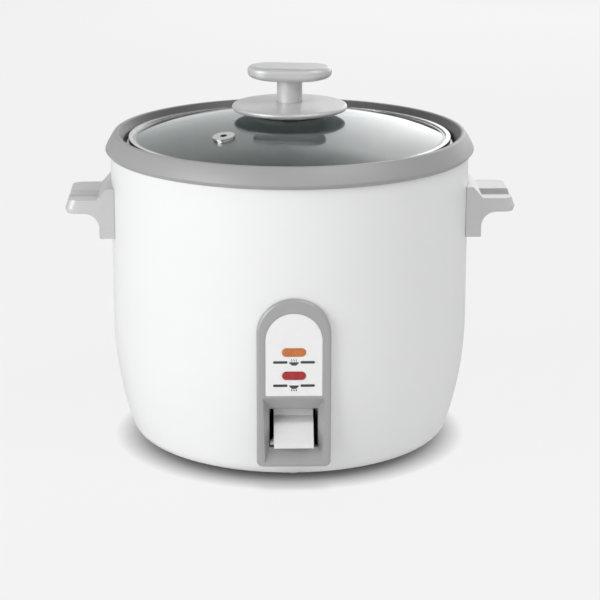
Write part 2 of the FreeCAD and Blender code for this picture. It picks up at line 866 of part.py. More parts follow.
def make_panel_bezel():
    body = new_body("panel_bezel")
    outline = arch_points(s.panel_half, s.panel_top, s.panel_bottom, s.panel_foot_corner)
    pad(body, add_outline(new_sketch(body, "XZ", s.panel_root), outline), s.panel_face - s.panel_root)
    # The face leans back a little below the label
    lean = new_sketch(body, "YZ")
    add_outline(lean, [
        (-s.panel_face - s.overcut, 0),
        (-s.panel_toe, 0),
        (-s.panel_toe, s.panel_bottom),
        (-s.panel_face, s.panel_knee),
        (-s.panel_face - s.overcut, s.panel_knee),
    ])
    pocket(body, lean, both_ways=True)
    toe = size(s.panel_toe)
    knee = size(s.panel_knee)
    half = size(s.panel_half)

    def on_rim(point):
        beside = abs(abs(point.x) - half) < CLOSE
        return point.y < -toe + CLOSE and (beside or abs(point.z - knee) > CLOSE)

    round_edges(body, on_rim, s.panel_round)
    cut_to_body(body)
    tongue = new_sketch(body, "XZ", s.panel_tongue_back)
    add_outline(tongue, box_points(-s.panel_tongue_half, s.panel_tongue_half, s.panel_tongue_bottom,
                                   s.panel_tongue_top))
    pad(body, tongue, s.panel_toe - s.panel_tongue_back)
    label = arch_points(s.label_half + s.fit_gap, s.label_top + s.fit_gap, s.label_bottom - s.fit_gap,
                        s.label_corner)
    recess = add_outline(new_sketch(body, "XZ", s.panel_face), label)
    pocket(body, recess, s.label_thick)
    slots = new_sketch(body, "XZ", s.panel_face)
    for height in (s.keep_warm_height, s.cooking_height):
        add_outline(slots, lens_hole(height))
    pocket(body, slots)
    mouth = new_sketch(body, "XZ", s.panel_face + s.fit_gap)
    add_outline(mouth, box_points(-s.mouth_half, s.mouth_half, s.mouth_bottom, s.mouth_top))
    floor = new_sketch(body, "XZ", s.pocket_floor)
    add_outline(floor, box_points(-s.opening_half, s.opening_half, s.opening_bottom, s.opening_top))
    before = volume_of(body)
    funnel = added(body, "SubtractiveLoft", mouth)
    funnel.Sections = [floor]
    must_cut(body, before)
    opening = new_sketch(body, "XZ", s.panel_face)
    add_outline(opening, box_points(-s.opening_half, s.opening_half, s.opening_bottom, s.opening_top))
    pocket(body, opening)
    screws = new_sketch(body, "XZ")
    for side in (-1, 1):
        add_circle(screws, side * s.bezel_screw_across, s.bezel_screw_height, s.panel_screw_radius)
    pocket(body, screws, s.bezel_screw_tip + s.fit_gap, along_normal=True)


def make_bezel_screws():
    body = new_body("bezel_screws")
    screw_pair(body, "XZ", s.bezel_screw_across, s.bezel_screw_height, s.bezel_screw_tip)


def make_label_and_lenses():
    label = new_body("panel_label")
    outline = arch_points(s.label_half, s.label_top, s.label_bottom, s.label_corner)
    pad(label, add_outline(new_sketch(label, "XZ", s.panel_face - s.label_thick), outline), s.label_thick)
    holes = new_sketch(label, "XZ", s.panel_face)
    for height in (s.keep_warm_height, s.cooking_height):
        add_outline(holes, lens_hole(height))
    pocket(label, holes)
    front = size(s.lens_front)
    for name, height in (("keep_warm_lens", s.keep_warm_height), ("cooking_lens", s.cooking_height)):
        lens = new_body(name)
        shape = pill_points(s.lens_half_length, s.lens_half_height, height)
        pad(lens, add_outline(new_sketch(lens, "XZ", s.lens_back), shape), s.lens_front - s.lens_back)
        round_edges(lens, lambda p: p.y < -front + CLOSE, s.lens_round)


def make_lamps():
    lamps = new_body("neon_lamps")
    for height in (s.keep_warm_height, s.cooking_height):
        sketch = new_sketch(lamps, "YZ")
        add_circle(sketch, -s.lamp_depth, height, s.lamp_radius)
        pad(lamps, sketch, s.lamp_half_length * 2, both_ways=True)
    holder = new_body("lamp_holder")
    sketch = new_sketch(holder, "XY", s.board_bottom)
    foot = -s.body_radius
    add_outline(sketch, [
        (-s.board_half, -s.board_back),
        (-s.board_half, foot),
        (-s.board_half + s.board_foot, foot),
        (-s.board_half + s.board_foot, -s.board_front),
        (s.board_half - s.board_foot, -s.board_front),
        (s.board_half - s.board_foot, foot),
        (s.board_half, foot),
        (s.board_half, -s.board_back),
    ])
    pad(holder, sketch, s.board_top - s.board_bottom)
    outside = wall_points(-s.shell_wall, s.shell_top)
    outside += [(s.handle_reach, s.shell_top), (s.handle_reach, s.shell_bottom + s.shell_wall)]
    groove(holder, add_outline(new_sketch(holder, "XZ"), outside))


def make_heater():
    plate = revolved("heating_plate", [
        (s.plate_hole, s.plate_bottom),
        (s.plate_radius, s.plate_bottom),
        (s.plate_radius, s.plate_top - s.plate_round),
        (s.plate_radius - s.plate_round, s.plate_top, s.plate_round, "left"),
        (s.plate_hole, s.plate_top),
    ])
    groove(plate, add_circle(new_sketch(plate, "XZ"), s.element_circle, s.plate_bottom,
                             s.element_radius + s.fit_gap))
    holes = new_sketch(plate, "XY", s.plate_bottom)
    add_circle(holes, 0, s.leg_circle, s.heater_screw_radius)
    hole = pocket(plate, holes, s.heater_screw_tip + s.fit_gap - s.plate_bottom, along_normal=True)
    polar(plate, [hole], HEATER_LEGS)

    element = new_body("heating_element")
    ring = add_circle(new_sketch(element, "XZ"), s.element_circle, s.plate_bottom, s.element_radius)
    revolve(element, ring, s.element_sweep)
    pins = new_sketch(element, "XY", s.terminal_bottom)
    add_circle(pins, s.element_circle, 0, s.terminal_radius)
    add_circle(pins, s.element_circle * cosine(s.element_sweep),
               s.element_circle * sine(s.element_sweep), s.terminal_radius)
    pad(element, pins, s.plate_bottom - s.terminal_bottom)
    # Turned so that the gap between its ends faces the back
    back_turn = 90 - (360 + size(s.element_sweep)) / 2
    element.Placement = FreeCAD.Placement(FreeCAD.Vector(), FreeCAD.Rotation(UP, back_turn))

    legs = new_body("heater_legs")
    ring = new_sketch(legs, "XY", s.case_bottom + s.case_wall)
    add_circle(ring, 0, s.leg_circle, s.leg_radius)
    add_circle(ring, 0, s.leg_circle, s.heater_screw_radius + s.fit_gap)
    polar(legs, [pad(legs, ring, s.plate_bottom - s.case_bottom - s.case_wall)], HEATER_LEGS)

    screws = new_body("heater_screws")
    head_sketch = new_sketch(screws, "XY", s.heater_head_bottom)
    add_circle(head_sketch, 0, s.leg_circle, s.heater_head_radius)
    head = pad(screws, head_sketch, s.case_bottom - s.heater_head_bottom)
    shank_sketch = new_sketch(screws, "XY", s.case_bottom)
    add_circle(shank_sketch, 0, s.leg_circle, s.heater_screw_radius)
    shank = pad(screws, shank_sketch, s.heater_screw_tip - s.case_bottom)
    polar(screws, [head, shank], HEATER_LEGS)

    disc("keep_warm_thermostat", s.thermostat_radius, s.thermostat_bottom, s.plate_bottom,
         -s.thermostat_circle)
    fuse = new_body("thermal_fuse")
    sketch = new_sketch(fuse, "XZ")
    add_circle(sketch, s.thermostat_circle, s.plate_bottom - s.fuse_radius, s.fuse_radius)
    pad(fuse, sketch, s.fuse_half_length * 2, both_ways=True)


def make_sensor():
    revolved("sensor_bracket", [
        (s.guide_ledge_inner, s.guide_bottom),
        (s.guide_inner + s.guide_wall, s.guide_bottom),
        (s.guide_inner + s.guide_wall, s.plate_bottom - s.guide_wall),
        (s.guide_flange, s.plate_bottom - s.guide_wall),
        (s.guide_flange, s.plate_bottom),
        (s.guide_inner, s.plate_bottom),
        (s.guide_inner, s.guide_bottom + s.guide_ledge),
        (s.guide_ledge_inner, s.guide_bottom + s.guide_ledge),
    ])
    inner = s.sensor_radius - s.sensor_wall
    revolved("sensor_cap", [
        (inner, s.sensor_bottom),
        (s.sensor_radius, s.sensor_bottom),
        (s.sensor_radius, s.sensor_top - s.sensor_wall),
        (inner, s.sensor_top, s.sensor_wall, "left"),
        (0, s.sensor_top),
        (0, s.sensor_top - s.sensor_wall),
        (inner, s.sensor_top - s.sensor_wall),
    ])
    disc("ferrite_disc", s.ferrite_radius, s.ferrite_bottom, s.sensor_top - s.sensor_wall)
    disc("magnet", s.magnet_radius, s.magnet_bottom, s.magnet_top)
    revolved("magnet_carrier", [
        (0, s.rod_foot_bottom),
        (s.rod_flange, s.rod_foot_bottom),
        (s.rod_flange, s.rod_foot_top),
        (s.rod_radius, s.rod_foot_top),
        (s.rod_radius, s.rod_collar_bottom),
        (s.rod_flange, s.rod_collar_bottom),
        (s.rod_flange, s.rod_collar_top),
        (s.rod_radius, s.rod_collar_top),
        (s.rod_radius, s.carrier_bottom),
        (s.carrier_radius, s.carrier_bottom),
        (s.carrier_radius, s.magnet_bottom),
        (0, s.magnet_bottom),
    ])
    make_spring("sensor_spring", s.sensor_spring_radius, s.sensor_wire, s.guide_bottom + s.guide_ledge,
                s.sensor_bottom)
    make_spring("magnet_spring", s.magnet_spring_radius, s.magnet_wire, s.magnet_bottom,
                s.sensor_top - s.sensor_wall)


def make_spring(label, radius, wire, low, high):
    """A coil spring between two flat seats."""
    seat = wire + s.spring_seat_gap
    coil = doc.addObject("Part::Helix", label + "_line")
    bind(coil, "Radius", radius)
    bind(coil, "Pitch", s.spring_pitch)
    bind(coil, "Height", high - low - 2 * seat)
    bind(coil, "Placement.Base.z", low + seat)
    section = doc.addObject("Part::Circle", label + "_wire")
    bind(section, "Radius", wire)
    section.Placement.Rotation = FreeCAD.Rotation(FreeCAD.Vector(1, 0, 0), 90)
    bind(section, "Placement.Base.x", radius)
    bind(section, "Placement.Base.z", low + seat)
    sweep = doc.addObject("Part::Sweep", label)
    sweep.Label = label
    sweep.Sections = [section]
    sweep.Spine = (coil, ["Edge1"])
    sweep.Solid = True
    sweep.Frenet = True
    NODES.append(sweep)


def make_lever():
    arm = new_body("lever_arm")
    strip = [
        (-s.arm_front, s.arm_shelf),
        (-s.arm_rise_end, s.arm_shelf),
        (-s.arm_rise_start, s.arm_height),
        (s.arm_end, s.arm_height),
        (s.arm_end, s.arm_height + s.arm_thick),
        (-s.arm_rise_start + s.arm_mitre, s.arm_height + s.arm_thick),
        (-s.arm_rise_end + s.arm_mitre, s.arm_shelf + s.arm_thick),
        (-s.arm_front + s.arm_thick, s.arm_shelf + s.arm_thick),
        (-s.arm_front + s.arm_thick, s.arm_tab_top),
        (-s.arm_front, s.arm_tab_top),
    ]
    pad(arm, add_outline(new_sketch(arm, "YZ"), strip), s.arm_half * 2, both_ways=True)
    barrel = add_circle(new_sketch(arm, "YZ"), -s.pivot_back, s.pivot_height, s.barrel_radius)
    pad(arm, barrel, s.barrel_half * 2, both_ways=True)
    bore = new_sketch(arm, "YZ")
    add_circle(bore, -s.pivot_back, s.pivot_height, s.pivot_radius + s.pivot_clearance)
    pocket(arm, bore, both_ways=True)
    fork = new_sketch(arm, "XY", s.arm_height + s.arm_thick)
    add_outline(fork, box_points(-s.fork_half, s.fork_half, -s.fork_root, s.arm_end + s.overcut))
    pocket(arm, fork)

    lever = new_body("switch_lever")
    paddle = [
        (-s.arm_front, s.arm_shelf),
        (-s.arm_front, s.lever_top),
        (-s.lever_top_front, s.lever_top),
        (-s.lever_root_front, s.lever_root),
        (-s.lever_crease_front, s.lever_crease),
        (-s.lever_lip_top_front, s.lever_lip_top, s.lever_scoop, "right"),
        (-s.lever_lip, s.lever_lip_bottom),
        (-s.lever_under_front, s.lever_under_bottom),
        (-s.lever_under_back, s.arm_shelf),
    ]
    pad(lever, add_outline(new_sketch(lever, "YZ"), paddle), s.lever_half * 2, both_ways=True)
    crease = size(s.lever_crease)
    crease_front = size(s.lever_crease_front)

    def on_crease(point):
        return abs(point.z - crease) < CLOSE and abs(point.y + crease_front) < CLOSE

    round_edges(lever, on_crease, s.lever_crease_round)

    pin = new_body("pivot_pin")
    pin_sketch = add_circle(new_sketch(pin, "YZ"), -s.pivot_back, s.pivot_height, s.pivot_radius)
    pad(pin, pin_sketch, s.pivot_half * 2, both_ways=True)


def make_switch():
    bracket = new_body("switch_bracket")
    ear = [
        (-s.ear_front, s.case_bottom),
        (-s.ear_front, s.ear_front_bottom),
        (-s.ear_foot_front, s.ear_foot),
        (-s.ear_foot_back, s.ear_foot),
        (-s.ear_nose, s.ear_nose_bottom),
        (-s.ear_nose, s.ear_nose_top),
        (-s.ear_seat_back, s.case_bottom),
    ]
    sketch = add_outline(new_sketch(bracket, "YZ", s.ear_inner), ear)
    add_circle(sketch, -s.pivot_back, s.pivot_height, s.pivot_radius + s.pivot_clearance)
    mirrored(bracket, [pad(bracket, sketch, s.ear_thick)], "YZ")
    top = new_sketch(bracket, "XY", s.case_bottom - s.bracket_thick)
    side = s.ear_inner + s.ear_thick
    add_outline(top, box_points(-side, side, -s.ear_front, -s.ear_seat_back))
    pad(bracket, top, s.bracket_thick)

    switch = new_body("microswitch")
    case = new_sketch(switch, "XY", s.switch_bottom)
    add_outline(case, box_points(s.switch_inner, s.ear_inner, -s.switch_front, -s.switch_back))
    pad(switch, case, s.switch_top - s.switch_bottom)
    bore = new_sketch(switch, "XY", s.switch_top)
    add_circle(bore, s.plunger_across, -s.plunger_back, s.plunger_radius + s.plunger_clearance)
    pocket(switch, bore, s.switch_top - s.plunger_bore_bottom)
    blades = new_sketch(switch, "XY", s.blade_bottom)
    middle = (s.switch_inner + s.ear_inner) / 2
    for back in (s.switch_front - s.blade_inset, s.switch_back + s.blade_inset):
        add_outline(blades, box_points(middle - s.blade_half, middle + s.blade_half,
                                       -back - s.blade_thick / 2, -back + s.blade_thick / 2))
    pad(switch, blades, s.switch_bottom - s.blade_bottom)
    disc("switch_plunger", s.plunger_radius, s.plunger_bottom, s.plunger_top, s.plunger_across,
         -s.plunger_back)


def make_inlet():
    housing = new_body("inlet_housing")
    corner = s.inlet_corner
    frame = [
        (-s.inlet_half + corner, s.inlet_bottom, corner, "left"),
        (s.inlet_half - corner, s.inlet_bottom),
        (s.inlet_half, s.inlet_bottom + corner, corner, "left"),
        (s.inlet_half, s.inlet_top - corner),
        (s.inlet_half - corner, s.inlet_top, corner, "left"),
        (-s.inlet_half + corner, s.inlet_top),
        (-s.inlet_half, s.inlet_top - corner, corner, "left"),
        (-s.inlet_half, s.inlet_bottom + corner),
    ]
    block = add_outline(new_sketch(housing, "XZ", -s.inlet_root), frame)
    pad(housing, block, s.inlet_face - s.inlet_root, reverse=True)
    cut_to_body(housing)
    core = new_sketch(housing, "XZ", -s.inlet_core_back)
    add_outline(core, box_points(-s.inlet_core_half, s.inlet_core_half, s.inlet_core_bottom,
                                 s.inlet_core_top))
    pad(housing, core, s.inlet_face - s.inlet_core_back, reverse=True)
    cavity = new_sketch(housing, "XZ", -s.inlet_face)
    wall = s.inlet_cavity_wall
    add_outline(cavity, box_points(-s.inlet_core_half + wall, s.inlet_core_half - wall,
                                   s.inlet_core_bottom + wall, s.inlet_core_top - wall))
    pocket(housing, cavity, s.inlet_face - s.inlet_cavity_floor, along_normal=True)
    middle = (s.inlet_core_bottom + s.inlet_core_top) / 2
    pins = new_body("inlet_pins")
    pin_sketch = new_sketch(pins, "XZ", -s.inlet_pin_root)
    holes = new_sketch(housing, "XZ", -s.inlet_face)
    for side in (-1, 1):
        add_circle(pin_sketch, side * s.inlet_pin_across, middle, s.inlet_pin_radius)
        add_circle(holes, side * s.inlet_pin_across, middle, s.inlet_pin_radius)
    pad(pins, pin_sketch, s.inlet_pin_tip - s.inlet_pin_root, reverse=True)
    pocket(housing, holes, along_normal=True)


def wire_path(corners):
    """A line through square corners, each of them rounded."""
    bend = size(s.wire_bend)
    edges = []
    start = corners[0]
    for before, corner, after in zip(corners, corners[1:], corners[2:]):
        back = (before - corner).normalize()
        onward = (after - corner).normalize()
        middle = corner + (back + onward) * bend * (1 - math.sqrt(0.5))
        arc = Part.Arc(corner + back * bend, middle, corner + onward * bend)
        edges.append(Part.makeLine(start, arc.StartPoint))
        edges.append(arc.toShape())
        start = arc.EndPoint
    edges.append(Part.makeLine(start, corners[-1]))
    return Part.Wire(edges)


def make_lead_wires():
    """One wire from the inlet to the element, and two that pass through the microswitch."""
    pin = s.inlet_pin_across
    pin_height = (s.inlet_core_bottom + s.inlet_core_top) / 2
    terminal = s.element_circle * cosine((360 - s.element_sweep) / 2)
    blade = (s.switch_inner + s.ear_inner) / 2
    rear_blade = -s.switch_back - s.blade_inset + s.blade_thick / 2
    front_blade = -s.switch_front + s.blade_inset - s.blade_thick / 2
    routes = [
        [(-pin, s.inlet_pin_root, pin_height), (-pin, s.wire_drop, pin_height),
         (-pin, s.wire_drop, s.wire_middle), (-pin, terminal, s.wire_middle),
         (-pin, terminal, s.terminal_bottom)],
        [(pin, s.inlet_pin_root, pin_height), (pin, s.wire_drop, pin_height),
         (pin, s.wire_drop, s.wire_floor), (pin, rear_blade, s.wire_floor)],
        [(blade, front_blade, s.wire_floor), (blade, -s.wire_front, s.wire_floor),
         (s.wire_side, -s.wire_front, s.wire_floor), (s.wire_side, terminal, s.wire_floor),
         (s.wire_side, terminal, s.wire_middle), (pin, terminal, s.wire_middle),
         (pin, terminal, s.terminal_bottom)],
    ]
    wires = []
    for route in routes:
        corners = [FreeCAD.Vector(*(size(value) for value in corner)) for corner in route]
        section = Part.makeCircle(size(s.wire_radius), corners[0], corners[1] - corners[0])
        wires.append(wire_path(corners).makePipeShell([Part.Wire([section])], True, True))
    bundle = doc.addObject("Part::Feature", "lead_wires")
    bundle.Label = "lead_wires"
    bundle.Shape = Part.makeCompound(wires)
    NODES.append(bundle)


# The lid's dome is a shallow cap of a ball
DOME_EDGE = s.band_bottom + s.band_wall + s.glass_thick
DOME_SAG = s.dome_top - DOME_EDGE
DOME_BALL = (s.dome_radius * s.dome_radius + DOME_SAG * DOME_SAG) / (2 * DOME_SAG)


def dome_height(radius, lift=0):
    """Height of the glass's top at a radius, raised by a lift."""
    return s.dome_top - DOME_BALL + root(DOME_BALL * DOME_BALL - radius * radius) + lift


VENT_RADIUS = root(s.vent_across * s.vent_across + s.vent_along * s.vent_along)
VENT_HEIGHT = dome_height(VENT_RADIUS)


def vent_normal():
    """The direction in which the glass faces at the vent."""
    rise = size(VENT_HEIGHT) - (size(s.dome_top) - size(DOME_BALL))
    return FreeCAD.Vector(size(s.vent_across), size(s.vent_along), rise).normalize()


def make_lid():
    glass = new_body("glass_dome", node=False)
    hole_top = dome_height(s.glass_hole)
    revolve(glass, add_outline(new_sketch(glass, "XZ"), [
        (s.band_radius - s.band_wall, s.band_bottom + s.band_wall),
        (s.band_radius - s.band_wall, DOME_EDGE),
        (s.dome_radius, DOME_EDGE),
        (s.glass_hole, hole_top, DOME_BALL, "left"),
        (s.glass_hole, hole_top - s.glass_thick),
        (s.dome_radius, DOME_EDGE - s.glass_thick, DOME_BALL, "right"),
    ]))
    lean = FreeCAD.Rotation(UP, vent_normal())
    place = FreeCAD.Vector(size(s.vent_across), size(s.vent_along), size(VENT_HEIGHT))
    drill = doc.addObject("Part::Cylinder", "vent_drill")
    bind(drill, "Radius", s.vent_hole)
    bind(drill, "Height", 2 * s.overcut)
    drill_start = place - vent_normal() * size(s.overcut)
    drill.Placement = FreeCAD.Placement(drill_start, lean)
    lid = doc.addObject("Part::Cut", "glass_lid")
    lid.Label = "glass_lid"
    lid.Base = glass
    lid.Tool = drill
    NODES.append(lid)

    under = -s.glass_thick - s.fit_gap
    ferrule = revolved("vent_ferrule", [
        (s.vent_bore, under - s.vent_clinch_thick),
        (s.vent_clinch, under - s.vent_clinch_thick),
        (s.vent_clinch, under),
        (s.vent_body, under),
        (s.vent_body, 0),
        (s.vent_flange, 0),
        (s.vent_flange, s.vent_flange_thick),
        (s.vent_bore, s.vent_flange_thick),
    ])
    ferrule.Placement = FreeCAD.Placement(place, lean)

    wall = s.band_radius - s.band_wall
    revolved("lid_band", [
        (s.band_inner, s.band_bottom),
        (s.band_radius, s.band_bottom),
        (s.band_radius, DOME_EDGE + s.band_wall),
        (s.band_inner, DOME_EDGE + s.band_wall),
        (s.band_inner, DOME_EDGE),
        (wall, DOME_EDGE),
        (wall, s.band_bottom + s.band_wall),
        (s.band_inner, s.band_bottom + s.band_wall),
    ])


def make_knob():
    revolved("knob_gasket", [
        (s.gasket_inner, dome_height(s.gasket_inner)),
        (s.gasket_outer, dome_height(s.gasket_outer), DOME_BALL, "right"),
        (s.gasket_outer, dome_height(s.gasket_outer, s.gasket_thick)),
        (s.gasket_inner, dome_height(s.gasket_inner, s.gasket_thick), DOME_BALL, "left"),
    ])
    bore = s.glass_hole
    rim_low = s.flange_rim_middle - s.flange_rim_half
    rim_high = s.flange_rim_middle + s.flange_rim_half
    revolved("knob_flange", [
        (bore, dome_height(bore, s.gasket_thick)),
        (s.boss_radius, dome_height(s.boss_radius, s.gasket_thick), DOME_BALL, "right"),
        (s.boss_radius, s.boss_top),
        (s.flange_radius - s.flange_rim_half, rim_low),
        (s.flange_radius, s.flange_rim_middle, s.flange_rim_half, "left"),
        (s.flange_radius - s.flange_rim_half, rim_high, s.flange_rim_half, "left"),
        (s.stem_recess_radius, s.flange_crown),
        (s.stem_recess_radius, s.stem_bottom),
        (bore, s.stem_bottom),
    ])
    knob = new_body("lid_knob")
    grip = pill_points(s.grip_half_length, s.grip_half_width, 0)
    pad(knob, add_outline(new_sketch(knob, "XY", s.grip_bottom), grip), s.grip_top - s.grip_bottom)
    # The grip's underside curves up towards its ends
    reach = s.grip_half_length
    end_bottom = s.grip_bottom + s.grip_end_rise
    belly = (reach * reach + s.grip_end_rise * s.grip_end_rise) / (2 * s.grip_end_rise)
    under = new_sketch(knob, "XZ")
    add_outline(under, [
        (-reach, end_bottom, belly, "right"),
        (-reach, s.grip_bottom - s.overcut),
        (reach, s.grip_bottom - s.overcut),
        (reach, end_bottom),
    ])
    pocket(knob, under, both_ways=True)
    low = size(end_bottom)
    high = size(s.grip_top)
    straight = size(s.grip_half_length - s.grip_half_width)
    half_width = size(s.grip_half_width)

    def grip_edge(point):
        from_wall = math.hypot(max(abs(point.x) - straight, 0), point.y) - half_width
        return abs(from_wall) < CLOSE and (point.z < low + CLOSE or point.z > high - CLOSE)

    round_edges(knob, grip_edge, s.grip_round)
    stem = add_circle(new_sketch(knob, "XY", s.stem_bottom), 0, 0, s.stem_radius)
    pad(knob, stem, (s.grip_bottom + s.grip_top) / 2 - s.stem_bottom)
    hole = add_circle(new_sketch(knob, "XY", s.stem_bottom), 0, 0, s.knob_screw_radius)
    pocket(knob, hole, s.knob_screw_top + s.fit_gap - s.stem_bottom, along_normal=True)
    spin = FreeCAD.Rotation(UP, size(s.knob_turn))
    knob.Placement = FreeCAD.Placement(FreeCAD.Vector(), spin)

    revolved("knob_screw", [
        (0, s.knob_head_bottom),
        (s.knob_head_radius, s.knob_head_bottom),
        (s.knob_head_radius, s.washer_bottom),
        (s.knob_screw_radius, s.washer_bottom),
        (s.knob_screw_radius, s.knob_screw_top),
        (0, s.knob_screw_top),
    ])
    revolved("knob_washer", [
        (s.knob_screw_radius + s.fit_gap, s.washer_bottom),
        (s.washer_radius, s.washer_bottom),
        (s.washer_radius, s.washer_top),
        (s.knob_screw_radius + s.fit_gap, s.washer_top),
    ])


def check_and_export():
    doc.recompute()
    for item in doc.Objects:
        if "Invalid" in item.State or "Error" in item.State:
            raise RuntimeError(item.Label + " failed: " + ", ".join(item.State))
    for node in NODES:
        if node.Shape.isNull() or not node.Shape.isValid() or not node.Shape.Solids:
            raise RuntimeError(node.Label + " has no valid solid")
    os.makedirs("parts", exist_ok=True)
    for node in NODES:
        node.Shape.exportStep(f"parts/{node.Label}.step")
        print(node.Label, len(node.Shape.Solids), round(node.Shape.Volume, 1))


make_outer_body()
make_rim_collar()
make_inner_case()
make_inner_pan()
make_base()
make_handle("left_handle", -1)
make_handle("right_handle", 1)
make_handle_screws()
make_panel_bezel()
make_bezel_screws()
make_label_and_lenses()
make_lamps()
make_heater()
make_sensor()
make_lever()
make_switch()
make_inlet()
make_lead_wires()
make_lid()
make_knob()
check_and_export()
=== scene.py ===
"""Studio scene of a rice cooker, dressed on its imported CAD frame, in metres."""
import json
import math
import bmesh
import bpy
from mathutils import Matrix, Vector


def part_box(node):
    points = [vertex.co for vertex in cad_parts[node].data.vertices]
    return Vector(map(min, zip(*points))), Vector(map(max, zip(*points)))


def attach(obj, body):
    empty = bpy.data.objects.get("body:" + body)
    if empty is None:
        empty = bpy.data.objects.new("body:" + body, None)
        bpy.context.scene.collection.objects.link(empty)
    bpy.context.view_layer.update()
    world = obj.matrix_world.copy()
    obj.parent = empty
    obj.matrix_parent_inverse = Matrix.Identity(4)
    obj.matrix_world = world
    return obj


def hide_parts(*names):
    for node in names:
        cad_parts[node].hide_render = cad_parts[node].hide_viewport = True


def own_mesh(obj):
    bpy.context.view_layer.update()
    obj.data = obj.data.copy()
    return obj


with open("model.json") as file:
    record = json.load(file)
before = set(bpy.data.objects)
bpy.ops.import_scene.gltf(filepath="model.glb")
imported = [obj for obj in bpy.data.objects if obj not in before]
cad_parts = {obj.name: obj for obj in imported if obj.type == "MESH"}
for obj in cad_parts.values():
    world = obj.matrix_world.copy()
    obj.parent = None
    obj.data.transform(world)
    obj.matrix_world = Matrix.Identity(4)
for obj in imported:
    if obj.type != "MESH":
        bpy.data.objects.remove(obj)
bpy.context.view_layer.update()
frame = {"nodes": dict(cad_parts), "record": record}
nodes = frame["nodes"]
scene = bpy.context.scene

# Camera, as fitted to the photograph
TARGET = Vector((0, 0, 0.100))
TARGET_PIXEL = (289.6, 272.4)
DISTANCE = 1.305
ELEVATION = math.radians(15.15)
TURN = math.radians(1.3)
FOCAL_PIXELS = 2153
IMAGE_PIXELS = 600
FILM_WIDTH = 36

# Floor and backdrop
BACKDROP = 0.905
FLOOR_REACH = 8
# Reach and gamma of the painted contact shadow that ambient occlusion puts in the floor's emission
CONTACT_REACH = 0.015
CONTACT_GAMMA = 0.9
PLAIN_SHARE = 0.92

# Distances from the axis across which the painted shade on the collar's inner slope gives way to its
# silver paint
SHADE_FADE_FROM = 0.1014
SHADE_FADE_TO = 0.1030

# Print on the label
INK_THICK = 0.00004
LEGEND_DROP = 0.0034
BAR_OFFSET = 0.0077
SYMBOL_GAP = 0.0013

# Level marks in the pan
PAN_RADIUS = 0.0924
PAN_WALL = 0.0014
MARK_LIFT = 0.00003
MARK_COUNT = 7
MARK_FIRST = 0.028
MARK_STEP = 0.012
MARK_HALF_HEIGHT = 0.0004
LONG_MARK = 0.11
SHORT_MARK = 0.065
MARK_MIDDLE = math.radians(-90)

# Flat crosses of painted shade for the recesses in the screws
SCREW_CIRCLE = 0.0795
CROSS_ARM = 0.0017
CROSS_HALF = 0.00032
CROSS_LIFT = 0.00003


def make_camera():
    data = bpy.data.cameras.new("camera")
    data.sensor_width = FILM_WIDTH
    data.lens = FOCAL_PIXELS / IMAGE_PIXELS * data.sensor_width
    data.shift_x = (IMAGE_PIXELS / 2 - TARGET_PIXEL[0]) / IMAGE_PIXELS
    data.shift_y = (TARGET_PIXEL[1] - IMAGE_PIXELS / 2) / IMAGE_PIXELS
    camera = bpy.data.objects.new("camera", data)
    level = math.cos(ELEVATION)
    away = Vector((-level * math.sin(TURN), -level * math.cos(TURN), math.sin(ELEVATION)))
    camera.location = TARGET + DISTANCE * away
    camera.rotation_euler = (-away).to_track_quat("-Z", "Y").to_euler()
    scene.collection.objects.link(camera)
    scene.camera = camera


def grey(level):
    return (level, level, level)


